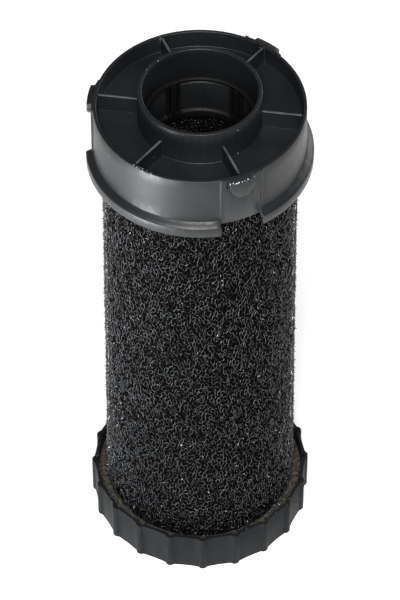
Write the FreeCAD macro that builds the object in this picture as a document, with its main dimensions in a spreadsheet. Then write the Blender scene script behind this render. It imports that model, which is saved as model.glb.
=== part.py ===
import FreeCAD, Part

import math
import os

import Sketcher

# Pneumatic exhaust muffler cartridge, millimetres. +Z runs along the bore, from the
# closed foot at Z = 0 to the open spigot. The air comes in at the spigot, spreads
# through the perforated core and the fibre wraps, and leaves through the foam sleeve.

DRIVING_SIZES = {
    # bore and neck
    "spigot_bore": 23.4,
    "spigot_wall": 1.6,
    "spigot_rise": 8.0,
    "bore_step": 0.6,
    "seal_land": 6.0,
    "seat_step": 0.3,
    "neck_wall": 1.1,
    # collar that snaps into the neck
    "collar_wall": 1.6,
    "collar_gap": 0.1,
    "collar_flange": 1.4,
    "collar_ring": 3.3,
    "collar_crown": 1.5,
    "collar_cone": 0.6,
    "ring_cone": 1.1,
    "ledge_rise": 1.75,
    "post_width": 6.0,
    "finger_width": 2.4,
    "finger_slot": 0.8,
    "barb_reach": 0.4,
    "barb_height": 1.6,
    "barb_clearance": 0.3,
    # layers of the silencing pack, from the bore outwards
    "layer_gap": 0.15,
    "core_foam_wall": 2.45,
    "core_tube_wall": 0.8,
    "scrim_wall": 0.4,
    "coarse_wrap_wall": 1.9,
    "fine_wrap_wall": 3.15,
    "outer_tube_wall": 0.8,
    "barrier_wall": 0.4,
    "sleeve_wall": 4.15,
    "sleeve_flare": 1.4,
    "perforation": 8.0,
    "perforation_margin": 14.0,
    # head cap
    "head_base": 212.7,
    "head_gap": 1.6,
    "head_wall": 1.4,
    "head_draft": 0.3,
    "head_floor": 1.6,
    "dish_depth": 8.2,
    "drum_height": 22.4,
    "flange_reach": 3.0,
    "flange_slope": 1.7,
    "lip_height": 4.6,
    "lip_wall": 1.4,
    "rib_width": 1.0,
    "rib_drop": 0.1,
    "lug_width": 11.0,
    "lug_side": 4.6,
    "lug_height": 9.0,
    "lug_toe": 4.0,
    "lug_reach": 2.6,
    "lug_fall": 0.6,
    "outline_width": 0.4,
    "outline_depth": 0.5,
    "pad_rise": 0.35,
    "stop_rise": 0.3,
    "stop_width": 1.3,
    "notch_angle": 22.4,
    # foot cap
    "foot_height": 19.35,
    "foot_floor": 2.0,
    "foot_gap": 3.5,
    "foot_wall": 1.3,
    "foot_recess": 0.8,
    "foot_rim": 9.0,
    "boss_height": 12.0,
    "scallop_depth": 1.0,
    "ridge_rise": 0.6,
    "ridge_round": 2.2,
    "relief_radius": 1.3,
    # adhesive
    "bond_depth": 3.0,
    "bond_skirt": 5.0,
    "fill_drop": 4.55,
}
LUGS = 3
RIBS = 6
POSTS = 5
RIDGES = 20
HOLES_AROUND = 10
HOLE_ROWS = 12
# Turn of each moulding about Z, in degrees, measured from +X.
HEAD_TURN = 52.0
COLLAR_TURN = 47.7
FOOT_TURN = -7.5


class Size:
    """A length or angle: its number now, and the formula that keeps it tied to the sheet."""

    def __init__(self, number, formula):
        self.number = number
        self.formula = formula

    def joined(self, sign, other, number):
        term = other.formula if isinstance(other, Size) else str(other)
        return Size(number, f"({self.formula} {sign} {term})")

    def __add__(self, other):
        return self.joined("+", other, self.number + plain(other))

    def __sub__(self, other):
        return self.joined("-", other, self.number - plain(other))

    def __mul__(self, other):
        return self.joined("*", other, self.number * plain(other))

    def __truediv__(self, other):
        return self.joined("/", other, self.number / plain(other))

    def __neg__(self):
        return Size(-self.number, f"(0 - {self.formula})")


def plain(value):
    return value.number if isinstance(value, Size) else value


def cosine(angle):
    return Size(math.cos(math.radians(angle.number)), f"cos({angle.formula} * 1 deg)")


def sine(angle):
    return Size(math.sin(math.radians(angle.number)), f"sin({angle.formula} * 1 deg)")


def angle_over(width, radius):
    """The angle in degrees that a short width takes up at a radius."""
    return width / radius * round(math.degrees(1.0), 6)


def size(alias):
    return Size(DRIVING_SIZES[alias], f"dims.{alias}")


ZERO = Size(0.0, "0")
doc = FreeCAD.newDocument("muffler")
sheet = doc.addObject("Spreadsheet::Sheet", "dims")
for row, (alias, number) in enumerate(DRIVING_SIZES.items(), start=1):
    sheet.set(f"A{row}", alias)
    sheet.set(f"B{row}", str(number))
    sheet.setAlias(f"B{row}", alias)
doc.recompute()


def origin_feature(body, role):
    return next(item for item in body.Origin.OriginFeatures if item.Role == role)


def bind(item, path, value):
    item.setExpression(path, value.formula)


def new_body(label, base, turn=0.0):
    """A body whose own zero is at height base, turned about Z."""
    body = doc.addObject("PartDesign::Body", label)
    body.Label = label
    spin = FreeCAD.Rotation(FreeCAD.Vector(0, 0, 1), turn)
    body.Placement = FreeCAD.Placement(FreeCAD.Vector(0, 0, base.number), spin)
    bind(body, ".Placement.Base.z", base)
    return body


def new_sketch(body, name, role, offset=None):
    """An empty sketch on one of the body's own planes, or at an offset in front of it."""
    sketch = body.newObject("Sketcher::SketchObject", name)
    sketch.AttachmentSupport = [(origin_feature(body, role), "")]
    sketch.MapMode = "FlatFace"
    if offset is not None:
        sketch.AttachmentOffset = FreeCAD.Placement(
            FreeCAD.Vector(0, 0, offset.number), FreeCAD.Rotation()
        )
        bind(sketch, ".AttachmentOffset.Base.z", offset)
    return sketch


def hold(sketch, kind, index, point, value):
    """Ties one coordinate of a sketch point to a size."""
    axis = -2 if kind == "DistanceX" else -1
    if value.number == 0.0:
        sketch.addConstraint(Sketcher.Constraint("PointOnObject", index, point, axis))
        return
    if value.number < 0.0:
        value = -value
        constraint = Sketcher.Constraint(kind, index, point, -1, 1, value.number)
    else:
        constraint = Sketcher.Constraint(kind, -1, 1, index, point, value.number)
    bind(sketch, f"Constraints[{sketch.addConstraint(constraint)}]", value)


def add_loop(sketch, corners):
    """A closed outline of straight lines through corners given as (across, up) sizes."""
    first = sketch.GeometryCount
    count = len(corners)
    spots = [FreeCAD.Vector(across.number, up.number, 0) for across, up in corners]
    for index in range(count):
        sketch.addGeometry(Part.LineSegment(spots[index], spots[(index + 1) % count]))
    for index in range(count):
        after = first + (index + 1) % count
        sketch.addConstraint(Sketcher.Constraint("Coincident", first + index, 2, after, 1))
    for index, (across, up) in enumerate(corners):
        hold(sketch, "DistanceX", first + index, 1, across)
        hold(sketch, "DistanceY", first + index, 1, up)


def add_circle(sketch, across, up, radius):
    centre = FreeCAD.Vector(across.number, up.number, 0)
    index = sketch.addGeometry(Part.Circle(centre, FreeCAD.Vector(0, 0, 1), radius.number))
    hold(sketch, "DistanceX", index, 3, across)
    hold(sketch, "DistanceY", index, 3, up)
    constraint = sketch.addConstraint(Sketcher.Constraint("Radius", index, radius.number))
    bind(sketch, f"Constraints[{constraint}]", radius)


def rectangle(left, right, low, high):
    return [(left, low), (right, low), (right, high), (left, high)]


def spun(body, kind, name, corners, sector=None):
    """Turns a radial section about Z: all the way round, or over a sector centred on +X."""
    sketch = new_sketch(body, f"{name}_section", "XZ_Plane")
    add_loop(sketch, corners)
    feature = body.newObject(f"PartDesign::{kind}", name)
    feature.Profile = sketch
    feature.ReferenceAxis = (sketch, ["V_Axis"])
    feature.Angle = 360.0
    if sector is not None:
        feature.Midplane = True
        feature.Angle = sector.number
        bind(feature, "Angle", sector)
    body.Tip = feature
    doc.recompute()
    return feature


def around(body, feature, count):
    """Repeats a feature about the body's Z axis."""
    pattern = body.newObject("PartDesign::PolarPattern", f"{feature.Name}_ring")
    pattern.Originals = [feature]
    pattern.Axis = (origin_feature(body, "Z_Axis"), [""])
    pattern.Angle = 360.0
    pattern.Occurrences = count
    body.Tip = pattern
    doc.recompute()
    return pattern


def sleeve(label, base, inner, outer, height):
    """A plain tube standing at height base."""
    body = new_body(label, base)
    sketch = new_sketch(body, f"{label}_ring", "XY_Plane")
    add_circle(sketch, ZERO, ZERO, inner)
    add_circle(sketch, ZERO, ZERO, outer)
    pad = body.newObject("PartDesign::Pad", f"{label}_tube")
    pad.Profile = sketch
    pad.Length = height.number
    bind(pad, "Length", height)
    body.Tip = pad
    doc.recompute()
    return body


def perforate(body, outer, height):
    """Rows of round holes through the wall of a tube."""
    hole = size("perforation") / 2
    label = body.Label
    sketch = new_sketch(body, f"{label}_hole", "XZ_Plane")
    add_circle(sketch, ZERO, size("perforation_margin"), hole)
    pocket = body.newObject("PartDesign::Pocket", f"{label}_holes")
    pocket.Profile = sketch
    pocket.Length = outer.number + hole.number
    bind(pocket, "Length", outer + hole)
    body.Tip = pocket
    doc.recompute()
    grid = body.newObject("PartDesign::MultiTransform", f"{label}_grid")
    grid.Originals = [pocket]
    column = body.newObject("PartDesign::LinearPattern", f"{label}_column")
    column.Direction = (origin_feature(body, "Z_Axis"), [""])
    column.Occurrences = HOLE_ROWS
    span = height - size("perforation_margin") * 2
    column.Length = span.number
    bind(column, "Length", span)
    ring = body.newObject("PartDesign::PolarPattern", f"{label}_circle")
    ring.Axis = (origin_feature(body, "Z_Axis"), [""])
    ring.Angle = 360.0
    ring.Occurrences = HOLES_AROUND
    grid.Transformations = [column, ring]
    body.Tip = grid
    doc.recompute()


# Places that several pieces share, worked out from the driving sizes.
land_radius = size("spigot_bore") - size("bore_step")
neck_bore = land_radius + size("seat_step")
neck_outside = neck_bore + size("neck_wall")
spigot_outside = size("spigot_bore") + size("spigot_wall")
layer_walls = {
    "core_foam": size("core_foam_wall"),
    "core_tube": size("core_tube_wall"),
    "inner_scrim": size("scrim_wall"),
    "coarse_wrap": size("coarse_wrap_wall"),
    "fine_wrap": size("fine_wrap_wall"),
    "outer_scrim": size("scrim_wall"),
    "outer_tube": size("outer_tube_wall"),
    "barrier_cloth": size("barrier_wall"),
    "foam_sleeve": size("sleeve_wall"),
}
layer_radii = {}
reached = neck_outside
for layer, wall in layer_walls.items():
    inside = reached + size("layer_gap")
    reached = inside + wall
    layer_radii[layer] = (inside, reached)
sleeve_outside = reached
drum_inside = sleeve_outside + size("head_gap")
drum_top_radius = drum_inside + size("head_wall")
drum_low_radius = drum_top_radius + size("head_draft")
lip_outside = drum_low_radius + size("flange_reach")
lip_inside = lip_outside - size("lip_wall")

# Heights inside the head cap, from the bottom of its lip.
drum_low = size("lip_height") + size("flange_slope")
rim_top = drum_low + size("drum_height")
dish_floor = rim_top - size("dish_depth")
floor_under = dish_floor - size("head_floor")
spigot_top = rim_top + size("spigot_rise")
neck_end = size("collar_flange")
collar_outside = neck_bore - size("collar_gap")
collar_inside = collar_outside - size("collar_wall")
ledge_top = dish_floor + size("ledge_rise")
crown_low = ledge_top - size("collar_crown")
barb_top = crown_low - size("finger_slot")
barb_low = barb_top - size("barb_height")

# The silencing pack stands between the two beds of adhesive.
pack_base = size("foot_floor") + size("bond_depth")
pack_top = size("head_base") + floor_under - size("bond_depth")
pack_length = pack_top - pack_base
sleeve_foot = sleeve_outside + size("sleeve_flare")
cup_inside = sleeve_foot + size("foot_gap")
valley_radius = cup_inside + size("foot_wall")
cusp_radius = valley_radius + size("scallop_depth")
ridge_radius = cusp_radius + size("ridge_rise")
foot_fill = size("foot_height") - size("foot_floor") - size("fill_drop")


def shield(margin, top):
    """The bayonet lug's outline seen from outside, widened by a margin."""
    half_lug = size("lug_width") / 2 + margin
    half_toe = size("lug_toe") / 2 + margin / 2
    shoulder = rim_top - size("lug_side") - margin / 2
    toe = rim_top - size("lug_height") - margin
    return [
        (-half_lug, top),
        (-half_lug, shoulder),
        (-half_toe, toe),
        (half_toe, toe),
        (half_lug, shoulder),
        (half_lug, top),
    ]


def head_cap():
    """Moulded top end cap: spigot, ribbed dish, drum, lip, neck and bayonet lugs."""
    body = new_body("head_cap", size("head_base"), HEAD_TURN)
    wall = size("lip_wall")
    groove_wall = neck_bore + size("barb_reach") + size("collar_gap")
    groove_low = barb_low - size("barb_clearance")
    groove_high = barb_top + size("barb_clearance")
    section = [
        (drum_top_radius, rim_top),
        (drum_low_radius, drum_low),
        (lip_outside, size("lip_height")),
        (lip_outside, ZERO),
        (lip_inside, ZERO),
        (lip_inside, size("lip_height") - wall),
        (drum_inside, size("lip_height")),
        (drum_inside, floor_under),
        (neck_outside, floor_under),
        (neck_outside, neck_end),
        (neck_bore, neck_end),
        (neck_bore, groove_low),
        (groove_wall, groove_low),
        (groove_wall, groove_high),
        (neck_bore, groove_high),
        (neck_bore, ledge_top),
        (land_radius, ledge_top),
        (land_radius, ledge_top + size("seal_land")),
        (size("spigot_bore"), spigot_top),
        (spigot_outside, spigot_top),
        (spigot_outside, dish_floor),
        (drum_inside, dish_floor),
        (drum_inside, rim_top),
    ]
    spun(body, "Revolution", "cap", section)

    pad_radius = drum_low_radius + size("pad_rise")
    pad_section = rectangle(drum_inside, pad_radius, size("lip_height"), rim_top)
    around(body, spun(body, "Revolution", "lug_pad", pad_section, size("notch_angle")), LUGS)

    # A fine sunk line runs round the foot of each lug.
    line = size("outline_width")
    line_sketch = new_sketch(body, "lug_line", "YZ_Plane", pad_radius - size("outline_depth"))
    add_loop(line_sketch, shield(line, rim_top + line))
    sunk = body.newObject("PartDesign::Pocket", "lug_outline")
    sunk.Profile = line_sketch
    sunk.Length = size("lug_reach").number
    sunk.Reversed = True
    bind(sunk, "Length", size("lug_reach"))
    body.Tip = sunk
    doc.recompute()
    around(body, sunk, LUGS)

    lug_fall = size("lug_fall")
    lug_tip = drum_top_radius + size("lug_reach")
    root = drum_inside + size("head_wall") / 2
    sketch = new_sketch(body, "lug_shield", "YZ_Plane", root)
    add_loop(sketch, shield(ZERO, rim_top))
    lug = body.newObject("PartDesign::Pad", "lug")
    lug.Profile = sketch
    reach = lug_tip + lug_fall - root
    lug.Length = reach.number
    bind(lug, "Length", reach)
    body.Tip = lug
    doc.recompute()
    around(body, lug, LUGS)

    # The lug's outer face follows the drum, and its top falls away outwards.
    past = lug_tip + lug_fall * 2
    slope = [
        (drum_top_radius, rim_top),
        (lug_tip, rim_top - lug_fall),
        (lug_tip, rim_top - size("lug_height") - lug_fall),
        (past, rim_top - size("lug_height") - lug_fall),
        (past, rim_top + lug_fall),
        (drum_top_radius, rim_top + lug_fall),
    ]
    spun(body, "Groove", "lug_slope", slope)

    notch = [
        (drum_inside - wall, -wall),
        (lip_outside + wall, -wall),
        (lip_outside + wall, drum_low + wall),
        (pad_radius, drum_low + wall),
        (pad_radius, size("lip_height")),
        (drum_inside - wall, size("lip_height")),
    ]
    around(body, spun(body, "Groove", "lip_notch", notch, size("notch_angle")), LUGS)

    # A thin upright rib at one end of each notch stops the turn in the housing.
    near = size("notch_angle") / 2
    far = near + angle_over(size("stop_width"), pad_radius)
    stop_root = drum_top_radius - size("head_wall") / 2
    stop_face = pad_radius + size("stop_rise")
    stop_low = size("lip_height") - wall / 2
    stop_sketch = new_sketch(body, "stop_outline", "XY_Plane", stop_low)
    stop_corners = [
        (stop_root * cosine(near), stop_root * sine(near)),
        (stop_face * cosine(near), stop_face * sine(near)),
        (stop_face * cosine(far), stop_face * sine(far)),
        (stop_root * cosine(far), stop_root * sine(far)),
    ]
    add_loop(stop_sketch, stop_corners)
    stop = body.newObject("PartDesign::Pad", "stop_rib")
    stop.Profile = stop_sketch
    stop_length = rim_top - stop_low
    stop.Length = stop_length.number
    bind(stop, "Length", stop_length)
    body.Tip = stop
    doc.recompute()
    around(body, stop, LUGS)

    rib_sketch = new_sketch(body, "rib_outline", "XZ_Plane")
    overlap = size("head_wall") / 2
    rib_top = rim_top - size("rib_drop")
    rib_corners = rectangle(
        spigot_outside - overlap, drum_inside + overlap, dish_floor - overlap, rib_top
    )
    add_loop(rib_sketch, rib_corners)
    rib = body.newObject("PartDesign::Pad", "rib")
    rib.Profile = rib_sketch
    rib.Length = size("rib_width").number
    rib.Midplane = True
    bind(rib, "Length", size("rib_width"))
    body.Tip = rib
    doc.recompute()
    around(body, rib, RIBS)
    return body


def neck_collar():
    """Slotted collar that snaps up into the neck and guides the nozzle."""
    body = new_body("neck_collar", size("head_base"), COLLAR_TURN)
    ring_top = size("collar_ring")
    base_ring = [
        (collar_inside, ZERO),
        (neck_outside, ZERO),
        (neck_outside, size("collar_flange")),
        (collar_outside, size("collar_flange")),
        (collar_outside, ring_top + size("ring_cone")),
        (collar_inside, ring_top),
    ]
    spun(body, "Revolution", "base_ring", base_ring)
    overlap = size("collar_gap")
    post = rectangle(collar_inside, collar_outside, ring_top - overlap, crown_low + overlap)
    post_angle = angle_over(size("post_width"), collar_inside)
    around(body, spun(body, "Revolution", "post", post, post_angle), POSTS)
    crown = [
        (collar_inside, crown_low),
        (collar_outside, crown_low),
        (collar_outside, ledge_top),
        (collar_inside, ledge_top - size("collar_cone")),
    ]
    spun(body, "Revolution", "crown", crown)

    half_finger = size("finger_width") / 2
    slot_edge = half_finger + size("finger_slot")
    slot_end = ring_top + size("ring_cone")
    sketch = new_sketch(body, "finger_outline", "YZ_Plane")
    finger_slot = [
        (-slot_edge, slot_end),
        (-half_finger, slot_end),
        (-half_finger, barb_top),
        (half_finger, barb_top),
        (half_finger, slot_end),
        (slot_edge, slot_end),
        (slot_edge, crown_low),
        (-slot_edge, crown_low),
    ]
    add_loop(sketch, finger_slot)
    slot = body.newObject("PartDesign::Pocket", "finger_cut")
    slot.Profile = sketch
    slot.Length = neck_outside.number
    slot.Reversed = True
    bind(slot, "Length", neck_outside)
    body.Tip = slot
    doc.recompute()
    around(body, slot, POSTS)

    barb_root = collar_outside - size("collar_wall") / 2
    barb = [
        (barb_root, barb_low),
        (collar_outside, barb_low),
        (collar_outside + size("barb_reach"), barb_low + size("barb_clearance")),
        (collar_outside, barb_top),
        (barb_root, barb_top),
    ]
    barb_angle = angle_over(size("finger_width"), neck_outside)
    around(body, spun(body, "Revolution", "barb", barb, barb_angle), POSTS)
    return body


def head_bond():
    """Adhesive bed that seals the pack to the head cap."""
    skirt_base = pack_top - size("bond_skirt")
    body = new_body("head_bond", skirt_base)
    gap = size("layer_gap")
    bed_top = size("bond_skirt") + size("bond_depth")
    section = [
        (sleeve_outside + gap, ZERO),
        (drum_inside - gap, ZERO),
        (drum_inside - gap, bed_top),
        (neck_outside + gap, bed_top),
        (neck_outside + gap, size("bond_skirt")),
        (sleeve_outside + gap, size("bond_skirt")),
    ]
    spun(body, "Revolution", "bed", section)
    return body


def foot_bond():
    """Adhesive bed in the foot cap, showing as a ring around the foam sleeve."""
    body = new_body("foot_bond", size("foot_floor"))
    gap = size("layer_gap")
    section = [
        (neck_outside + gap, ZERO),
        (cup_inside - gap, ZERO),
        (cup_inside - gap, foot_fill),
        (sleeve_foot + gap, foot_fill),
        (sleeve_foot + gap, size("bond_depth")),
        (neck_outside + gap, size("bond_depth")),
    ]
    spun(body, "Revolution", "bed", section)
    return body


def foot_cap():
    """Moulded closed end cap with a ridged grip and a boss that centres the core."""
    body = new_body("foot_cap", ZERO, FOOT_TURN)
    floor = size("foot_floor")
    recess_edge = valley_radius - size("foot_rim")
    section = [
        (ZERO, size("foot_recess")),
        (recess_edge, size("foot_recess")),
        (recess_edge, ZERO),
        (cusp_radius, ZERO),
        (cusp_radius, size("foot_height")),
        (cup_inside, size("foot_height")),
        (cup_inside, floor),
        (neck_outside, floor),
        (neck_outside, floor + size("boss_height")),
        (neck_bore, floor + size("boss_height")),
        (neck_bore, floor),
        (ZERO, floor),
    ]
    spun(body, "Revolution", "cup", section)

    # A scallop is the arc through the valley's middle and the cusps on both sides.
    half_pitch = Size(180.0 / RIDGES, str(180.0 / RIDGES))
    cusp_across = cusp_radius * cosine(half_pitch)
    cusp_up = cusp_radius * sine(half_pitch)
    depth = cusp_across - valley_radius
    arc_radius = (depth * depth + cusp_up * cusp_up) / (depth * 2)
    sketch = new_sketch(body, "scallop_circle", "XY_Plane")
    add_circle(sketch, valley_radius + arc_radius, ZERO, arc_radius)
    scallop = body.newObject("PartDesign::Pocket", "scallop")
    scallop.Profile = sketch
    scallop.Length = size("foot_height").number
    scallop.Reversed = True
    bind(scallop, "Length", size("foot_height"))
    body.Tip = scallop
    doc.recompute()
    around(body, scallop, RIDGES)

    # A round rib stands on each cusp, for grip.
    rib_centre = ridge_radius - size("ridge_round")
    rib_sketch = new_sketch(body, "ridge_circle", "XY_Plane")
    add_circle(
        rib_sketch,
        rib_centre * cosine(half_pitch),
        rib_centre * sine(half_pitch),
        size("ridge_round"),
    )
    ridge = body.newObject("PartDesign::Pad", "ridge")
    ridge.Profile = rib_sketch
    ridge.Length = size("foot_height").number
    bind(ridge, "Length", size("foot_height"))
    body.Tip = ridge
    doc.recompute()
    around(body, ridge, RIDGES)
    bore = rectangle(neck_outside, cup_inside, floor, size("foot_height") + floor)
    spun(body, "Groove", "cup_bore", bore)

    # The wall keeps its thickness behind each ridge.
    relief = new_sketch(body, "relief_circle", "XY_Plane", floor + foot_fill)
    across = cup_inside * cosine(half_pitch)
    up = cup_inside * sine(half_pitch)
    add_circle(relief, across, up, size("relief_radius"))
    hollow = body.newObject("PartDesign::Pocket", "relief")
    hollow.Profile = relief
    hollow.Length = size("foot_height").number
    hollow.Reversed = True
    bind(hollow, "Length", size("foot_height"))
    body.Tip = hollow
    doc.recompute()
    around(body, hollow, RIDGES)
    return body


def foam_sleeve():
    """Outer foam tube, a little wider where it is pressed into the foot's adhesive."""
    body = new_body("foam_sleeve", pack_base)
    inside, outside = layer_radii["foam_sleeve"]
    section = [
        (inside, ZERO),
        (outside + size("sleeve_flare"), ZERO),
        (outside, pack_length),
        (inside, pack_length),
    ]
    spun(body, "Revolution", "foam", section)
    return body


nodes = [head_cap(), neck_collar(), head_bond(), foot_bond(), foot_cap(), foam_sleeve()]
for layer, (inside, outside) in layer_radii.items():
    if layer == "foam_sleeve":
        continue
    body = sleeve(layer, pack_base, inside, outside, pack_length)
    if layer in ("core_tube", "outer_tube"):
        perforate(body, outside, pack_length)
    nodes.append(body)

doc.recompute()
for item in doc.Objects:
    if "Invalid" in item.State or "Error" in item.State:
        raise RuntimeError(f"{item.Label} is {item.State}")
os.makedirs("parts", exist_ok=True)
for body in nodes:
    if body.Shape.isNull() or not body.Shape.isValid():
        raise RuntimeError(f"{body.Label} has no valid shape")
    if len(body.Shape.Solids) != 1:
        raise RuntimeError(f"{body.Label} is {len(body.Shape.Solids)} solids")
    print(body.Label, round(body.Shape.Volume, 1))
    body.Shape.exportStep(f"parts/{body.Label}.step")
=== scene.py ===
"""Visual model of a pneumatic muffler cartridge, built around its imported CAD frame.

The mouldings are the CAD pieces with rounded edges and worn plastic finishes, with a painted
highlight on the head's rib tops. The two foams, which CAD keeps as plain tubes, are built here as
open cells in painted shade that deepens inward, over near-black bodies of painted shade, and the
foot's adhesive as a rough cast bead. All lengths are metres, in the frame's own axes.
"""

from __future__ import annotations

import logging
import math
from dataclasses import dataclass, field
from enum import Enum

import bpy
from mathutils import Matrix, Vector

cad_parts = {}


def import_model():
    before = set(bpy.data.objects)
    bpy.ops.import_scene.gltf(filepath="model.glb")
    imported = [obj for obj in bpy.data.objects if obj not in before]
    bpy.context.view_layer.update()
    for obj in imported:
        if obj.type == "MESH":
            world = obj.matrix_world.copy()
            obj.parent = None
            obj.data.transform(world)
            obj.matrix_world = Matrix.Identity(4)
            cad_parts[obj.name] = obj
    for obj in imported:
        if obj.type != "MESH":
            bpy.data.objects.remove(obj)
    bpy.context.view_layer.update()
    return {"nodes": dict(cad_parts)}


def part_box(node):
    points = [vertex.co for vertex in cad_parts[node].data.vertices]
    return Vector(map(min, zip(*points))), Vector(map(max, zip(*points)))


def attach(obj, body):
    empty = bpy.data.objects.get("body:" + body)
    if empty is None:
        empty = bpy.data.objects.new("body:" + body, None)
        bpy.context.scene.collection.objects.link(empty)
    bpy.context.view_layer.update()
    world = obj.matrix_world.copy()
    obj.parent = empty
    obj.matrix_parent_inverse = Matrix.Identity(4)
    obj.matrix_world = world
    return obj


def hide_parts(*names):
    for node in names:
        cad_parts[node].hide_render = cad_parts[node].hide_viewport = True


MM = 0.001
ROOT = "root"
# Sizes of the CAD part that the frame's boxes don't give.
SPIGOT_RISE = 8.0 * MM
LIP_HEIGHT = 4.6 * MM
LAYER_GAP = 0.15 * MM
log = logging.getLogger("muffler")
Colour = tuple[float, float, float]


class Facing(Enum):
    """The side of a foam tube on which its cells are open."""

    OUTWARD = 1.0
    INWARD = -1.0


class Net:
    """A node tree with short ways to add nodes and join them."""

    def __init__(self, tree: bpy.types.NodeTree) -> None:
        """Wraps a tree.

        Args:
            tree: The shader or geometry tree to fill.
        """
        self.tree = tree

    def add(self, kind: str, inputs: dict | None = None, **settings) -> bpy.types.Node:
        """Adds one node.

        Args:
            kind: The node's type name.
            inputs: Socket name or index to a value, or to the socket that feeds it.
            settings: Attributes of the node itself.

        Returns:
            The new node.
        """
        node = self.tree.nodes.new(kind)
        for name, value in settings.items():
            setattr(node, name, value)
        for name, value in (inputs or {}).items():
            socket = self.socket(node, name)
            if isinstance(value, bpy.types.NodeSocket):
                self.tree.links.new(value, socket)
            else:
                socket.default_value = value
        return node

    @staticmethod
    def socket(node: bpy.types.Node, name: str | int) -> bpy.types.NodeSocket:
        """Finds an enabled input.

        Args:
            node: The node.
            name: The input's name, or its index.

        Returns:
            The socket.
        """
        if isinstance(name, int):
            return node.inputs[name]
        return next(s for s in node.inputs if s.enabled and s.name == name)

    def math(self, operation: str, *values) -> bpy.types.NodeSocket:
        """A scalar sum.

        Args:
            operation: The Math node's operation.
            values: Numbers or sockets, in order.

        Returns:
            The result's socket.
        """
        node = self.add("ShaderNodeMath", dict(enumerate(values)), operation=operation)
        return node.outputs[0]

    def ramp(self, factor, stops: list[tuple[float, float]]) -> bpy.types.NodeSocket:
        """A grey ramp.

        Args:
            factor: The socket that drives it.
            stops: Position and brightness of each stop, from low to high.

        Returns:
            The ramp's colour socket.
        """
        node = self.add("ShaderNodeValToRGB", {"Fac": factor})
        elements = node.color_ramp.elements
        while len(elements) < len(stops):
            elements.new(0.5)
        for element, (place, level) in zip(elements, stops):
            element.position = place
            element.color = (level, level, level, 1.0)
        return node.outputs[0]

    def mix(self, factor, first, second) -> bpy.types.NodeSocket:
        """Mixes two colours.

        Args:
            factor: Share of the second, as a number or socket.
            first: A colour or socket.
            second: A colour or socket.

        Returns:
            The mixed colour's socket.
        """
        node = self.add("ShaderNodeMix", data_type="RGBA")
        for index, value in ((0, factor), (6, first), (7, second)):
            socket = node.inputs[index]
            if isinstance(value, bpy.types.NodeSocket):
                self.tree.links.new(value, socket)
            elif index == 0:
                socket.default_value = value
            else:
                socket.default_value = (*value, 1.0)
        return node.outputs[2]

    def noise(self, vector, scale: float, detail: float = 2.0) -> bpy.types.NodeSocket:
        """A noise field.

        Args:
            vector: The coordinates.
            scale: Features per metre, roughly.
            detail: Octaves of finer noise.

        Returns:
            The factor socket.
        """
        inputs = {"Vector": vector, "Scale": scale, "Detail": detail}
        return self.add("ShaderNodeTexNoise", inputs).outputs["Fac"]


def new_material(name: str) -> tuple[bpy.types.Material, Net, bpy.types.Node]:
    """Makes a material with one Principled surface.

    Args:
        name: The material's name.

    Returns:
        The material, its net, and its Principled node.
    """
    material = bpy.data.materials.new(name)
    material.use_nodes = True
    material.node_tree.nodes.clear()
    net = Net(material.node_tree)
    surface = net.add("ShaderNodeBsdfPrincipled")
    net.add("ShaderNodeOutputMaterial", {"Surface": surface.outputs[0]})
    return material, net, surface


@dataclass(frozen=True)
class WornEdge:
    """A stretch of an edge where the plastic is chipped pale.

    Attributes:
        height: Height of the edge.
        bearing: Middle of the stretch, in degrees about Z from +X.
        spread: Half of its length, in degrees.
        share: How much of it is chipped; more is more.
        beyond: Radius outside which it lies.
    """

    height: float
    bearing: float
    spread: float
    share: float = 0.5
    beyond: float = 0.0


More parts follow.
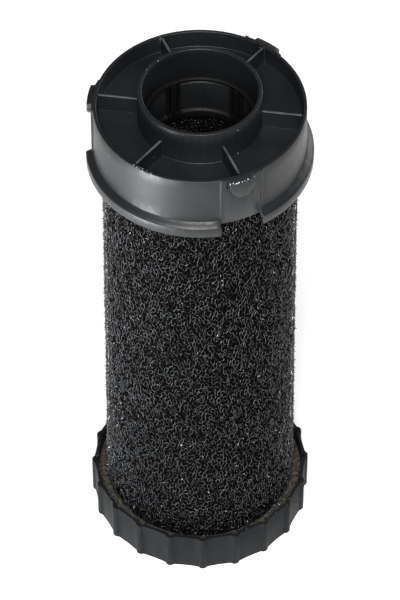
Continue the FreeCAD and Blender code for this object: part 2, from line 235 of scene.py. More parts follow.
@dataclass(frozen=True)
class MouldedPlastic:
    """Black moulded plastic: fine grain, faint mottling, dust, pale worn edges, and an optional
    painted highlight on rib tops.
    """

    name: str
    colour: Colour
    roughness: float
    gloss: float = 0.22
    grain: float = 0.09
    dust: float = 0.3
    edge_round: float = 0.3 * MM
    worn: tuple[WornEdge, ...] = ()
    # Height, nearest and farthest radius of a painted highlight on rib tops.
    painted_rib_highlight: tuple[float, float, float] | None = None

    def build(self) -> bpy.types.Material:
        """Builds the finish.

        Returns:
            The material.
        """
        material, net, surface = new_material(self.name)
        place = net.add("ShaderNodeTexCoord").outputs["Object"]
        mottle = net.ramp(net.noise(place, 60.0, 4.0), [(0.35, 0.75), (0.7, 1.2)])
        base = net.add("ShaderNodeMix", data_type="RGBA", blend_type="MULTIPLY")
        base.inputs[0].default_value = 1.0
        base.inputs[6].default_value = (*self.colour, 1.0)
        net.tree.links.new(mottle, base.inputs[7])
        colour = base.outputs[2]

        speck = net.add(
            "ShaderNodeTexVoronoi", {"Vector": place, "Scale": 330.0}, feature="F1"
        )
        near = net.math("LESS_THAN", speck.outputs["Distance"], 0.07)
        pick = net.add("ShaderNodeSeparateColor", {"Color": speck.outputs["Color"]})
        rare = net.math("GREATER_THAN", pick.outputs[0], 1.0 - 0.05 * self.dust)
        colour = net.mix(net.math("MULTIPLY", near, rare), colour, (0.45, 0.45, 0.43))

        # Painted highlight: rib tops at one height are lightened to stand in for the light they
        # catch.
        if self.painted_rib_highlight is not None:
            colour = net.mix(self.painted_rib_highlight_mask(net, place), colour, (0.11, 0.115, 0.12))
        worn = self.worn_mask(net, place)
        if worn is not None:
            colour = net.mix(worn, colour, (0.55, 0.56, 0.56))
        net.tree.links.new(colour, surface.inputs["Base Color"])
        surface.inputs["Specular IOR Level"].default_value = self.gloss

        rough = net.noise(place, 900.0, 3.0)
        spread = net.math("MULTIPLY_ADD", rough, 0.26, self.roughness - 0.13)
        net.tree.links.new(spread, surface.inputs["Roughness"])
        grain = net.noise(place, 5200.0, 2.0)
        wave = net.noise(place, 240.0, 2.0)
        height = net.math("MULTIPLY_ADD", wave, 0.6, grain)
        bump = net.add(
            "ShaderNodeBump",
            {"Height": height, "Strength": self.grain, "Distance": 0.2 * MM},
        )
        net.tree.links.new(bump.outputs[0], surface.inputs["Normal"])
        return material

    def painted_rib_highlight_mask(self, net: Net, place) -> bpy.types.NodeSocket:
        """A painted highlight on the tops of ribs at one height, between two radii, standing in
        for the light their tops catch.

        Args:
            net: The material's net.
            place: The object coordinates.

        Returns:
            The mask.
        """
        level, nearest, farthest = self.painted_rib_highlight
        across, along, height = net.add("ShaderNodeSeparateXYZ", {"Vector": place}).outputs
        square = net.math("MULTIPLY_ADD", across, across, net.math("MULTIPLY", along, along))
        gap = net.math("ABSOLUTE", net.math("SUBTRACT", height, level))
        band = net.math("LESS_THAN", gap, 0.3 * MM)
        past = net.math("GREATER_THAN", square, nearest**2)
        short = net.math("LESS_THAN", square, farthest**2)
        patches = net.ramp(net.noise(place, 140.0, 2.0), [(0.3, 0.15), (0.65, 0.6)])
        ring = net.math("MULTIPLY", past, short)
        return net.math("MULTIPLY", net.math("MULTIPLY", band, patches), ring)

    def worn_mask(self, net: Net, place) -> bpy.types.NodeSocket | None:
        """Chips along the worn stretches of edge.

        Args:
            net: The material's net.
            place: The object coordinates.

        Returns:
            The mask, or None where the finish has no worn edge.
        """
        if not self.worn:
            return None
        across, along, height = net.add("ShaderNodeSeparateXYZ", {"Vector": place}).outputs
        bearing = net.math("ARCTAN2", along, across)
        square = net.math("MULTIPLY_ADD", across, across, net.math("MULTIPLY", along, along))
        chips = net.noise(place, 1700.0, 2.0)
        total = None
        for edge in self.worn:
            gap = net.math("ABSOLUTE", net.math("SUBTRACT", height, edge.height))
            band = net.math("LESS_THAN", gap, 0.2 * MM)
            outer = net.math("GREATER_THAN", square, edge.beyond**2)
            band = net.math("MULTIPLY", band, outer)
            swing = net.math("SUBTRACT", bearing, math.radians(edge.bearing))
            swing = net.math("ABSOLUTE", net.math("WRAP", swing, math.pi, -math.pi))
            near = net.math("LESS_THAN", swing, math.radians(edge.spread))
            chipped = net.math("GREATER_THAN", chips, 0.71 - 0.3 * edge.share)
            mask = net.math("MULTIPLY", net.math("MULTIPLY", band, near), chipped)
            total = mask if total is None else net.math("MAXIMUM", total, mask)
        return total


@dataclass(frozen=True)
class FoamFinish:
    """Black polyurethane foam: glossy strands, with painted shade that darkens them the deeper
    they lie.
    """

    name: str
    dark: Colour
    light: Colour
    roughness: float
    gloss: float = 0.3
    facing: Facing = Facing.OUTWARD
    open_radius: float = 0.04
    taper: float = 0.0
    depth: float = 1.1 * MM
    patches: tuple[float, float] = (0.32, 0.68)

    def build(self) -> bpy.types.Material:
        """Builds the finish.

        Returns:
            The material.
        """
        material, net, surface = new_material(self.name)
        place = net.add("ShaderNodeTexCoord").outputs["Object"]
        across, along, height = net.add("ShaderNodeSeparateXYZ", {"Vector": place}).outputs
        square = net.math("MULTIPLY_ADD", across, across, net.math("MULTIPLY", along, along))
        # Painted shade: the colour runs from light at the open surface to dark at the given depth,
        # standing in for the shade inside the foam; the blotches vary the tone at random.
        surface_radius = net.math("MULTIPLY_ADD", height, -self.taper, self.open_radius)
        sunk = net.math("SUBTRACT", surface_radius, net.math("SQRT", square))
        share = net.math("MULTIPLY_ADD", sunk, -self.facing.value / self.depth, 1.0)
        low, high = self.patches
        blotch = net.ramp(net.noise(place, 1100.0, 2.0), [(low, 0.15), (high, 1.0)])
        depth_shade_and_tone = net.math("MULTIPLY", net.ramp(share, [(0.0, 0.0), (1.0, 1.0)]), blotch)
        colour = net.mix(depth_shade_and_tone, self.dark, self.light)
        speck = net.add(
            "ShaderNodeTexVoronoi", {"Vector": place, "Scale": 1100.0}, feature="F1"
        )
        pick = net.add("ShaderNodeSeparateColor", {"Color": speck.outputs["Color"]})
        rare = net.math("GREATER_THAN", pick.outputs[1], 0.9993)
        colour = net.mix(net.math("MULTIPLY", rare, 0.6), colour, (0.5, 0.53, 0.55))
        net.tree.links.new(colour, surface.inputs["Base Color"])
        surface.inputs["Specular IOR Level"].default_value = self.gloss
        rough = net.noise(place, 1500.0, 2.0)
        spread = net.math("MULTIPLY_ADD", rough, 0.3, self.roughness - 0.15)
        net.tree.links.new(spread, surface.inputs["Roughness"])
        return material


@dataclass(frozen=True)
class RoughFinish:
    """A matt finish whose two colours mix in blotches, with a rough or fibrous bump."""

    name: str
    first: Colour
    second: Colour
    scale: float
    roughness: float = 0.9
    bump: float = 0.5
    metal: float = 0.0
    gloss: float = 0.5

    def build(self) -> bpy.types.Material:
        """Builds the finish.

        Returns:
            The material.
        """
        material, net, surface = new_material(self.name)
        place = net.add("ShaderNodeTexCoord").outputs["Object"]
        cloud = net.noise(place, self.scale, 6.0)
        blotch = net.ramp(cloud, [(0.35, 0.0), (0.65, 1.0)])
        colour = net.mix(blotch, self.first, self.second)
        net.tree.links.new(colour, surface.inputs["Base Color"])
        surface.inputs["Roughness"].default_value = self.roughness
        surface.inputs["Metallic"].default_value = self.metal
        surface.inputs["Specular IOR Level"].default_value = self.gloss
        fine = net.noise(place, self.scale * 6.0, 4.0)
        bump = net.add(
            "ShaderNodeBump",
            {"Height": fine, "Strength": self.bump, "Distance": 0.3 * MM},
        )
        net.tree.links.new(bump.outputs[0], surface.inputs["Normal"])
        return material


class CellTree:
    """Geometry nodes that grow one layer of open foam cells on a tube."""

    SIZES = (
        ("Radius", 0.04),
        ("Flare", 0.0),
        ("Base", 0.0),
        ("Height", 0.1),
        ("Cell width", 0.0017),
        ("Cell height", 0.0026),
        ("Strand", 0.00018),
        ("Unevenness", 0.0004),
        ("Sway", 0.0008),
        ("Broken share", 0.15),
        ("Spur length", 0.0007),
        ("Spur share", 0.3),
        ("Facing", 1.0),
        ("From height", -1.0),
        ("To height", 1.0),
    )
    SWAY_SCALE = 260.0
    JITTER = 0.48
    LEAN = 0.8

    def __init__(self) -> None:
        """Builds the tree once; each foam layer uses it with its own sizes."""
        self.group = bpy.data.node_groups.new("open_cells", "GeometryNodeTree")
        face = self.group.interface
        for name, start in self.SIZES:
            item = face.new_socket(name, in_out="INPUT", socket_type="NodeSocketFloat")
            item.default_value = start
        face.new_socket("Seed", in_out="INPUT", socket_type="NodeSocketInt")
        face.new_socket("Finish", in_out="INPUT", socket_type="NodeSocketMaterial")
        face.new_socket("Geometry", in_out="OUTPUT", socket_type="NodeSocketGeometry")
        self.net = Net(self.group)
        self.given = self.net.add("NodeGroupInput").outputs
        shell = self.shell()
        struts = self.struts(shell)
        spurs = self.spurs(shell)
        join = self.net.add("GeometryNodeJoinGeometry")
        self.group.links.new(struts, join.inputs[0])
        self.group.links.new(spurs, join.inputs[0])
        real = self.net.add("GeometryNodeRealizeInstances", {0: join.outputs[0]})
        done = self.net.add(
            "GeometryNodeSetMaterial",
            {"Geometry": real.outputs[0], "Material": self.given["Finish"]},
        )
        self.net.add("NodeGroupOutput", {0: done.outputs[0]})

    def random(self, low: float, high: float, offset: int) -> bpy.types.NodeSocket:
        """A random number for each element.

        Args:
            low: Least value.
            high: Greatest value.
            offset: Added to the layer's seed, so that draws differ.

        Returns:
            The value's socket.
        """
        seed = self.net.math("ADD", self.given["Seed"], float(offset))
        node = self.net.add(
            "FunctionNodeRandomValue", {"Min": low, "Max": high, "Seed": seed}
        )
        return node.outputs["Value"] if node.outputs["Value"].enabled else node.outputs[1]

    def shell(self) -> bpy.types.NodeSocket:
        """A tube of uneven polygons, one for each cell.

        Returns:
            The mesh's socket.
        """
        net, given = self.net, self.given
        girth = net.math("MULTIPLY", given["Radius"], math.tau)
        around = net.math("ROUND", net.math("DIVIDE", girth, given["Cell width"]))
        rows = net.math("ROUND", net.math("DIVIDE", given["Height"], given["Cell height"]))
        tube = net.add(
            "GeometryNodeMeshCylinder",
            {"Vertices": around, "Side Segments": rows, "Radius": given["Radius"],
             "Depth": given["Height"]},
            fill_type="NONE",
        )
        spot = net.add("GeometryNodeInputPosition").outputs[0]
        across, along, up = net.add("ShaderNodeSeparateXYZ", {0: spot}).outputs
        turn = net.math("ARCTAN2", along, across)
        low = net.math("MULTIPLY_ADD", given["Height"], 0.5, up)
        row = net.math("ROUND", net.math("DIVIDE", low, given["Cell height"]))
        odd = net.math("MODULO", row, 2.0)
        pitch = net.math("DIVIDE", given["Cell width"], given["Radius"])
        stagger = net.math("MULTIPLY_ADD", odd, 0.5, self.random(-self.JITTER, self.JITTER, 1))
        turn = net.math("MULTIPLY_ADD", stagger, pitch, turn)
        drift = net.add(
            "ShaderNodeTexNoise", {"Scale": self.SWAY_SCALE, "Detail": 1.0}
        ).outputs["Color"]
        sway = net.add("ShaderNodeSeparateXYZ", {0: drift}).outputs
        swing = net.math("DIVIDE", given["Sway"], given["Radius"])
        turn = net.math("MULTIPLY_ADD", net.math("SUBTRACT", sway[0], 0.5), swing, turn)
        lift = self.random(-self.JITTER, self.JITTER, 2)
        lift = net.math("MULTIPLY", lift, given["Cell height"])
        heave = net.math("MULTIPLY", net.math("SUBTRACT", sway[1], 0.5), given["Sway"])
        ends = net.math("SUBTRACT", given["Height"], low)
        inner = net.math("MINIMUM", net.math("MINIMUM", low, ends), given["Cell height"])
        inner = net.math("DIVIDE", inner, given["Cell height"])
        lift = net.math("MULTIPLY", net.math("ADD", lift, heave), inner)
        share = net.math("DIVIDE", ends, given["Height"])
        high = net.math("ADD", net.math("ADD", low, lift), given["Base"])
        swell = net.math("MULTIPLY", self.random(-1.0, 0.0, 3), given["Unevenness"])
        wide = net.math("MULTIPLY_ADD", share, given["Flare"], given["Radius"])
        out = net.math("MULTIPLY_ADD", swell, given["Facing"], wide)
        place = net.add(
            "ShaderNodeCombineXYZ",
            {0: net.math("MULTIPLY", out, net.math("COSINE", turn)),
             1: net.math("MULTIPLY", out, net.math("SINE", turn)), 2: high},
        )
        moved = net.add(
            "GeometryNodeSetPosition",
            {"Geometry": tube.outputs[0], "Position": place.outputs[0]},
        )
        flat = net.add("GeometryNodeTriangulate", {0: moved.outputs[0]})
        return net.add("GeometryNodeDualMesh", {0: flat.outputs[0]}).outputs[0]

    def in_band(self, chance: bpy.types.NodeSocket) -> bpy.types.NodeSocket:
        """Keeps what was chosen only between the layer's two heights.

        Args:
            chance: The choice so far, as 0 or 1.

        Returns:
            The choice inside the band.
        """
        place = self.net.add("GeometryNodeInputPosition").outputs[0]
        height = self.net.add("ShaderNodeSeparateXYZ", {0: place}).outputs[2]
        above = self.net.math("GREATER_THAN", height, self.given["From height"])
        below = self.net.math("LESS_THAN", height, self.given["To height"])
        inside = self.net.math("MULTIPLY", above, below)
        return self.net.math("MULTIPLY", inside, chance)

    def struts(self, shell: bpy.types.NodeSocket) -> bpy.types.NodeSocket:
        """Three-sided strands along the edges of every cell.

        Args:
            shell: The mesh of cells.

        Returns:
            The strands' mesh socket.
        """
        net = self.net
        ring = net.add(
            "GeometryNodeCurvePrimitiveCircle",
            {"Resolution": 3, "Radius": self.given["Strand"]},
        )
        whole = net.math("GREATER_THAN", self.random(0.0, 1.0, 10), self.given["Broken share"])
        lines = net.add("GeometryNodeMeshToCurve", {0: shell, "Selection": self.in_band(whole)})
        swept = net.add(
            "GeometryNodeCurveToMesh",
            {"Curve": lines.outputs[0], "Profile Curve": ring.outputs[0],
             "Scale": self.random(0.6, 1.4, 4), "Fill Caps": True},
        )
        return swept.outputs[0]

    def spurs(self, shell: bpy.types.NodeSocket) -> bpy.types.NodeSocket:
        """Cut strand ends that stand up from some of the corners.

        Args:
            shell: The mesh of cells.

        Returns:
            The spurs' instances socket.
        """
        net, given = self.net, self.given
        spike = net.add(
            "GeometryNodeMeshCone",
            {"Vertices": 3, "Radius Top": net.math("MULTIPLY", given["Strand"], 0.45),
             "Radius Bottom": given["Strand"], "Depth": given["Spur length"]},
        )
        chosen = net.math("LESS_THAN", self.random(0.0, 1.0, 5), given["Spur share"])
        spot = net.add("GeometryNodeInputPosition").outputs[0]
        normal = net.add("ShaderNodeSeparateXYZ", {0: spot})
        lean = [
            net.math("MULTIPLY", self.random(-self.LEAN, self.LEAN, n), given["Radius"])
            for n in (6, 7, 8)
        ]
        toward = net.add(
            "ShaderNodeCombineXYZ",
            {0: net.math("MULTIPLY_ADD", normal.outputs[0], given["Facing"], lean[0]),
             1: net.math("MULTIPLY_ADD", normal.outputs[1], given["Facing"], lean[1]),
             2: lean[2]},
        )
        turn = net.add(
            "FunctionNodeAlignRotationToVector", {"Vector": toward.outputs[0]}, axis="Z"
        )
        stretch = net.add(
            "ShaderNodeCombineXYZ", {0: 1.0, 1: 1.0, 2: self.random(0.5, 1.4, 9)}
        )
        copies = net.add(
            "GeometryNodeInstanceOnPoints",
            {"Points": shell, "Selection": self.in_band(chosen), "Instance": spike.outputs[0],
             "Rotation": turn.outputs[0], "Scale": stretch.outputs[0]},
        )
        return copies.outputs[0]

    def grow(self, name: str, sizes: dict[str, float], seed: int,
             finish: bpy.types.Material) -> bpy.types.Object:
        """Grows one layer as a plain mesh.

        Args:
            name: The piece's name.
            sizes: Values for the tree's named inputs.
            seed: Seed of every random draw.
            finish: Material of the strands.

        Returns:
            The mesh object, at the origin.
        """
        seedling = bpy.data.objects.new(f"{name}_source", bpy.data.meshes.new(f"{name}_source"))
        bpy.context.scene.collection.objects.link(seedling)
        modifier = seedling.modifiers.new("cells", "NODES")
        modifier.node_group = self.group
        keys = {
            item.name: item.identifier
            for item in self.group.interface.items_tree
            if item.in_out == "INPUT"
        }
        for label, value in sizes.items():
            modifier[keys[label]] = float(value)
        modifier[keys["Seed"]] = seed
        modifier[keys["Finish"]] = finish
        graph = bpy.context.evaluated_depsgraph_get()
        mesh = bpy.data.meshes.new_from_object(seedling.evaluated_get(graph))
        mesh.name = name
        piece = bpy.data.objects.new(name, mesh)
        bpy.context.scene.collection.objects.link(piece)
        bpy.data.objects.remove(seedling)
        return piece


def lathe(name: str, section: list[tuple[float, float]], steps: int) -> bpy.types.Object:
    """Turns a closed section about Z into a ring with outward faces.

    Args:
        name: The piece's name.
        section: Radius and height of each corner, anticlockwise seen with radius to the right.
        steps: Faces around the ring.

    Returns:
        The mesh object, at the origin.
    """
    count = len(section)
    verts = []
    faces = []
    for step in range(steps):
        turn = math.tau * step / steps
        for radius, height in section:
            verts.append((radius * math.cos(turn), radius * math.sin(turn), height))
    for step in range(steps):
        here, there = step * count, (step + 1) % steps * count
        for index in range(count):
            after = (index + 1) % count
            faces.append((here + index, there + index, there + after, here + after))
    mesh = bpy.data.meshes.new(name)
    mesh.from_pydata(verts, [], faces)
    mesh.update()
    piece = bpy.data.objects.new(name, mesh)
    bpy.context.scene.collection.objects.link(piece)
    return piece


@dataclass
class Mouldings:
    """The three plastic mouldings, kept from CAD, with rounded edges."""

    corner_angle: float = 34.0

    def dress(self, nodes: dict[str, bpy.types.Object]) -> None:
        """Gives each moulding its finish and its rounded edges.

        Args:
            nodes: The CAD nodes by name.
        """
        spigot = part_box("head_cap")[1].z
        rim = spigot - SPIGOT_RISE
        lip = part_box("head_cap")[0].z
        foot_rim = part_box("foot_cap")[1].z
        finishes = {
            "head_cap": MouldedPlastic(
                "head_plastic", (0.0062, 0.0071, 0.0082), 0.43, gloss=0.34,
                # Painted highlight on the rib tops at rim height, between these radii.
                painted_rib_highlight=(rim, 25.5 * MM, 41.0 * MM),
                worn=(
                    WornEdge(rim, -122.0, 8.0, 0.25, 42.0 * MM),
                    WornEdge(rim - 0.6 * MM, -68.0, 7.5, 0.4, 44.0 * MM),
                    WornEdge(lip + LIP_HEIGHT, -110.0, 12.0, 0.0),
                    WornEdge(spigot, 150.0, 20.0, 0.0),
                    WornEdge(spigot, 15.0, 20.0, 0.0),
                ),
            ),
            "neck_collar": MouldedPlastic(
                "collar_plastic", (0.003, 0.0031, 0.0034), 0.5, gloss=0.1
            ),
            "foot_cap": MouldedPlastic(
                "foot_plastic", (0.0056, 0.0063, 0.0073), 0.6, gloss=0.12, edge_round=0.15 * MM,
                worn=(WornEdge(foot_rim, -40.0, 30.0, 0.0), WornEdge(foot_rim, -160.0, 30.0, 0.0)),
            ),
        }
        for name, finish in finishes.items():
            piece = nodes[name]
            repaint(piece, finish.build())
            self.soften(piece, finish.edge_round)
            log.info("%s dressed as moulded plastic", name)

    def soften(self, piece: bpy.types.Object, edge_round: float) -> None:
        """Rounds the sharp edges of a CAD node with live modifiers.

        Args:
            piece: The CAD node.
            edge_round: How wide the rounding is.
        """
        weld = piece.modifiers.new("weld", "WELD")
        weld.merge_threshold = 0.002 * MM
        bevel = piece.modifiers.new("round", "BEVEL")
        bevel.width = edge_round
        bevel.segments = 2
        bevel.limit_method = "ANGLE"
        bevel.angle_limit = math.radians(self.corner_angle)
        bevel.harden_normals = True
        bevel.use_clamp_overlap = False


def repaint(piece: bpy.types.Object, material: bpy.types.Material) -> None:
    """Replaces every material of a piece.

    Args:
        piece: The object.
        material: Its one material.
    """
    if not piece.material_slots:
        piece.data.materials.append(material)
    for slot in piece.material_slots:
        slot.material = material


def painted_shade_foam() -> bpy.types.Material:
    """Near-black foam deep behind the cells, its colour painted shade standing in for the shade
    that falls there.

    Returns:
        The material.
    """
    # Painted shade: near-black colours standing in for the shade deep in the foam.
    deep = (0.001, 0.001, 0.001)
    return RoughFinish("foam_depth_shade", deep, (0.002, 0.002, 0.002), 700.0, gloss=0.02).build()


@dataclass(frozen=True)
class CellLayer:
    """One layer of foam cells, at a depth under the foam's surface."""

    name: str
    seed: int
    depth: float
    cell_width: float
    cell_height: float
    strand: float
    unevenness: float
    broken: float
    spur: float
    spur_share: float


@dataclass
class FoamSleeve:
    """Open-cell foam around the cartridge: layers of cells over a near-black body of painted
    shade.
    """

    node: str = "foam_sleeve"
    flare: float = 1.4 * MM
    buried: float = 1.5 * MM
    top_gap: float = 3.0 * MM
    sway: float = 3.0 * MM
    body_depth: float = 2.6 * MM
    bands: int = 2
    layers: tuple[CellLayer, ...] = (
        CellLayer(
            name="cells", seed=11, depth=0.1 * MM, cell_width=1.28 * MM,
            cell_height=2.35 * MM, strand=0.16 * MM, unevenness=0.8 * MM,
            broken=0.4, spur=0.7 * MM, spur_share=0.25,
        ),
        CellLayer(
            name="under_cells", seed=23, depth=1.5 * MM, cell_width=2.1 * MM,
            cell_height=2.8 * MM, strand=0.17 * MM, unevenness=0.8 * MM,
            broken=0.1, spur=1.4 * MM, spur_share=0.3,
        ),
    )

    def build(self, cells: CellTree) -> list[bpy.types.Object]:
        """Builds the sleeve's pieces in the space of its CAD tube.

        Args:
            cells: The cell tree.

        Returns:
            The pieces.
        """
        low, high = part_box(self.node)
        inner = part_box("barrier_cloth")[1].x + LAYER_GAP
        top_radius = high.x - self.flare
        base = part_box("foot_bond")[1].z - self.buried
        height = high.z - self.top_gap - base
        taper = self.flare / (high.z - low.z)
        flare = taper * (high.z - base)
        open_radius = high.x + taper * low.z
        finishes = {
            # Painted shade: the strands darken with depth under the open surface.
            "cells": FoamFinish(
                "foam_strands", (0.001, 0.001, 0.0012), (0.066, 0.07, 0.075), 0.25,
                gloss=0.42, open_radius=open_radius, taper=taper,
            ).build(),
            # Painted shade: the under layer is the same foam in darker colours, standing in for
            # the shade it lies in.
            "under_cells": FoamFinish(
                "foam_under_strands_shaded", (0.0006, 0.0006, 0.0007), (0.01, 0.0105, 0.011), 0.5,
                gloss=0.08, open_radius=open_radius, taper=taper, depth=2.4 * MM,
            ).build(),
        }
        pieces = []
        for layer in self.layers:
            sizes = {
                "Radius": top_radius - layer.depth, "Flare": flare, "Base": base,
                "Height": height, "Cell width": layer.cell_width,
                "Cell height": layer.cell_height, "Strand": layer.strand,
                "Unevenness": layer.unevenness, "Sway": self.sway,
                "Broken share": layer.broken, "Spur length": layer.spur,
                "Spur share": layer.spur_share, "Facing": Facing.OUTWARD.value,
            }
            step = (high.z - low.z) / self.bands
            for band in range(self.bands):
                sizes["From height"] = low.z + step * band
                sizes["To height"] = low.z + step * (band + 1)
                name = f"foam_sleeve_{layer.name}_{band + 1}"
                pieces.append(cells.grow(name, sizes, layer.seed, finishes[layer.name]))
        # Painted shade: a near-black body fills the gaps between the cells with shade.
        core = top_radius - self.body_depth
        body = lathe(
            "foam_sleeve_body",
            [(inner, low.z), (core + self.flare, low.z), (core, high.z), (inner, high.z)],
            160,
        )
        repaint(body, painted_shade_foam())
        return [*pieces, body]


@dataclass
class CoreFoam:
    """Open-cell foam lining the bore, seen through the neck."""

    node: str = "core_foam"
    strand: float = 0.14 * MM
    seen_depth: float = 90 * MM

    def build(self, cells: CellTree) -> list[bpy.types.Object]:
        """Builds the lining's pieces in the space of its CAD tube.

        Args:
            cells: The cell tree.

        Returns:
            The pieces.
        """
        low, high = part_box(self.node)
        outside = high.x
        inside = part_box("neck_collar")[1].x + 0.25 * MM
        # Painted shade: the strands darken with depth below the bore's open surface.
        strands = FoamFinish(
            "bore_strands", (0.0004, 0.0004, 0.0005), (0.09, 0.09, 0.094), 0.14,
            gloss=0.5, facing=Facing.INWARD, open_radius=inside, depth=0.7 * MM,
            patches=(0.56, 0.64),
        ).build()
        collar_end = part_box("neck_collar")[0].z
        lining = cells.grow(
            "core_foam_cells",
            {"Radius": inside + 0.1 * MM, "Base": collar_end - self.seen_depth,
             "Height": self.seen_depth - 0.5 * MM,
             "Cell width": 1.5 * MM, "Cell height": 1.9 * MM, "Strand": self.strand,
             "Unevenness": 0.5 * MM, "Sway": 2.0 * MM, "Broken share": 0.1,
             "Spur length": 0.7 * MM, "Spur share": 0.3,
             "Facing": Facing.INWARD.value},
            37, strands,
        )
        # Painted shade: a near-black body behind the lining's cells.
        back = inside + 1.1 * MM
        body = lathe(
            "core_foam_body",
            [(back, low.z), (outside, low.z), (outside, high.z), (back, high.z)],
            120,
        )
        repaint(body, painted_shade_foam())
        return [lining, body]


@dataclass
class FootBead:
    """Cast adhesive ring between the foam sleeve and the foot cap."""

    node: str = "foot_bond"
    rings: int = 12
    steps: int = 720

    def build(self, finish: bpy.types.Material) -> bpy.types.Object:
        """Builds the bead with an uneven top that climbs the foam and the wall.

        Args:
            finish: Its finish.

        Returns:
            The piece.
        """
        low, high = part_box(self.node)
        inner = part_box("neck_collar")[1].x + LAYER_GAP
        wall = high.x
        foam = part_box("foam_sleeve")[1].x - 0.2 * MM
        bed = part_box("foam_sleeve")[0].z
        edge = foam - 1.6 * MM
        section = [(inner, low.z), (wall, low.z)]
        for ring in range(self.rings + 1):
            share = ring / self.rings
            radius = wall + (edge - wall) * share
            climb = 0.6 * MM * (2 * share - 1) ** 4
            section.append((radius, high.z - 2.4 * MM + climb))
        section += [(edge, bed), (inner, bed)]
        piece = lathe("foot_bond_bead", section, self.steps)
        repaint(piece, finish)
        texture = bpy.data.textures.new("bead_lumps", "CLOUDS")
        texture.noise_scale = 2.2 * MM
        texture.noise_depth = 3
        top = piece.vertex_groups.new(name="top")
        floor, rim = bed + 2 * MM, wall - 0.2 * MM
        free = [v.index for v in piece.data.vertices if v.co.z > floor and v.co.xy.length < rim]
        top.add(free, 1.0, "REPLACE")
        lumps = piece.modifiers.new("lumps", "DISPLACE")
        lumps.texture = texture
        lumps.texture_coords = "LOCAL"
        lumps.direction = "Z"
        lumps.strength = 1.3 * MM
        lumps.mid_level = 0.5
        lumps.vertex_group = "top"
        return piece


@dataclass
class HiddenLayers:
    """The pack's layers between the two foams, which show only when it is opened."""

    finishes: dict[str, RoughFinish] = field(
        default_factory=lambda: {
            "core_tube": RoughFinish(
                "perforated_steel", (0.55, 0.55, 0.56), (0.68, 0.68, 0.7), 240.0,
                roughness=0.38, bump=0.05, metal=1.0,
            ),
            "inner_scrim": RoughFinish(
                "white_scrim", (0.72, 0.72, 0.7), (0.84, 0.84, 0.83), 900.0
            ),
            "coarse_wrap": RoughFinish(
                "coarse_fibre", (0.7, 0.68, 0.62), (0.86, 0.85, 0.8), 500.0
            ),
            "fine_wrap": RoughFinish(
                "fine_fibre", (0.82, 0.81, 0.78), (0.92, 0.92, 0.9), 1200.0
            ),
            "barrier_cloth": RoughFinish(
                "barrier_weave", (0.6, 0.6, 0.57), (0.74, 0.74, 0.72), 800.0
            ),
            "head_bond": RoughFinish(
                "head_adhesive", (0.1, 0.088, 0.07), (0.17, 0.15, 0.12), 350.0
            ),
        }
    )
    same_as: dict[str, str] = field(
        default_factory=lambda: {"outer_tube": "core_tube", "outer_scrim": "inner_scrim"}
    )

    def dress(self, nodes: dict[str, bpy.types.Object]) -> None:
        """Gives each layer its finish.

        Args:
            nodes: The CAD nodes by name.
        """
        made = {name: finish.build() for name, finish in self.finishes.items()}
        for name, source in self.same_as.items():
            made[name] = made[source]
        for name, material in made.items():
            repaint(nodes[name], material)
            log.info("%s dressed", name)


@dataclass(frozen=True)
class SoftBox:
    """A round soft light aimed at the cartridge."""

    name: str
    place: tuple[float, float, float]
    width: float
    power: float
    colour: Colour = (1.0, 1.0, 1.0)


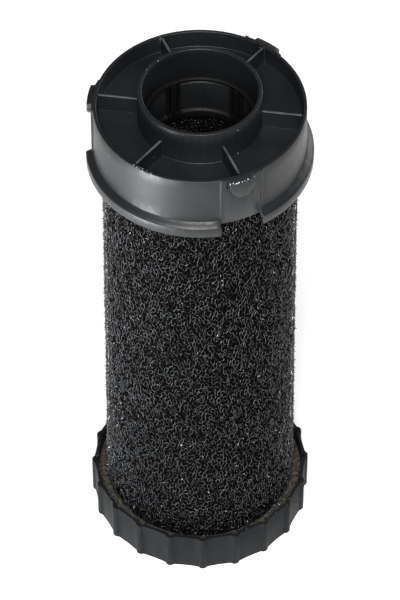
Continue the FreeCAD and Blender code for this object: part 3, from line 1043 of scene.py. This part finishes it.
@dataclass
class Studio:
    """Pale floor, soft boxes and the camera."""

    distance: float = 1.548
    elevation: float = 45.4
    pitch: float = 48.3
    lens: float = 231.6
    floor_half: float = 6.0
    sensor: float = 36.0
    surround: float = 0.15
    aim_height: float = 0.18
    boxes: tuple[SoftBox, ...] = (
        SoftBox("key", (-0.31, -0.27, 0.07), 0.12, 2.7, (0.93, 0.97, 1.0)),
        SoftBox("front", (0.0, -1.7, 2.3), 1.2, 130.0),
        SoftBox("rear", (1.2, 1.3, 0.9), 0.9, 16.0),
    )

    def build(self) -> None:
        """Builds the floor, the lights and the camera."""
        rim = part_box("head_cap")[1].z - SPIGOT_RISE
        self.floor()
        self.lights()
        data = bpy.data.cameras.new("camera")
        data.lens = self.lens
        data.sensor_width = self.sensor
        data.clip_start = 0.01
        data.clip_end = 50.0
        camera = bpy.data.objects.new("camera", data)
        up = math.radians(self.elevation)
        camera.location = (0.0, -self.distance * math.cos(up), rim + self.distance * math.sin(up))
        camera.rotation_euler = (math.radians(90.0 - self.pitch), 0.0, 0.0)
        bpy.context.scene.collection.objects.link(camera)
        bpy.context.scene.camera = camera

    def floor(self) -> None:
        """Builds the pale floor just under the foot."""
        half = self.floor_half
        mesh = bpy.data.meshes.new("studio_floor")
        corners = [(-half, -half, 0), (half, -half, 0), (half, half, 0), (-half, half, 0)]
        mesh.from_pydata(corners, [], [(0, 1, 2, 3)])
        floor = bpy.data.objects.new("studio_floor", mesh)
        bpy.context.scene.collection.objects.link(floor)
        finish = RoughFinish("floor_paper", (0.93, 0.93, 0.93), (0.95, 0.95, 0.95), 3.0, bump=0.0)
        repaint(floor, finish.build())

    def lights(self) -> None:
        """Builds the soft boxes and a dim surround."""
        scene = bpy.context.scene
        scene.view_settings.view_transform = "Standard"
        world = bpy.data.worlds.new("surround")
        world.use_nodes = True
        back = world.node_tree.nodes["Background"]
        back.inputs[0].default_value = (1.0, 1.0, 1.0, 1.0)
        back.inputs[1].default_value = self.surround
        scene.world = world
        for box in self.boxes:
            data = bpy.data.lights.new(box.name, "AREA")
            data.shape = "DISK"
            data.size = box.width
            data.energy = box.power
            data.color = box.colour
            lamp = bpy.data.objects.new(box.name, data)
            lamp.location = box.place
            aim = Vector((0.0, 0.0, self.aim_height)) - Vector(box.place)
            lamp.rotation_euler = aim.to_track_quat("-Z", "Y").to_euler()
            lamp.visible_camera = False
            scene.collection.objects.link(lamp)


def main() -> None:
    """Builds every piece around the frame and reports it."""
    logging.basicConfig(level=logging.INFO, format="%(name)s: %(message)s")
    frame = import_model()
    nodes = frame["nodes"]
    Mouldings().dress(nodes)
    HiddenLayers().dress(nodes)

    cells = CellTree()
    for sub_assembly in (FoamSleeve(), CoreFoam()):
        for piece in sub_assembly.build(cells):
            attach(piece, ROOT)
            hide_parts(sub_assembly.node)
            log.info("%s: %d faces", piece.name, len(piece.data.polygons))

    adhesive = RoughFinish(
        "foot_adhesive", (0.012, 0.01, 0.008), (0.075, 0.063, 0.05), 900.0, gloss=0.2
    )
    bead = FootBead().build(adhesive.build())
    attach(bead, ROOT)
    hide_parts("foot_bond")
    log.info("%s: %d faces", bead.name, len(bead.data.polygons))

    Studio().build()


if __name__ == "__main__":
    main()
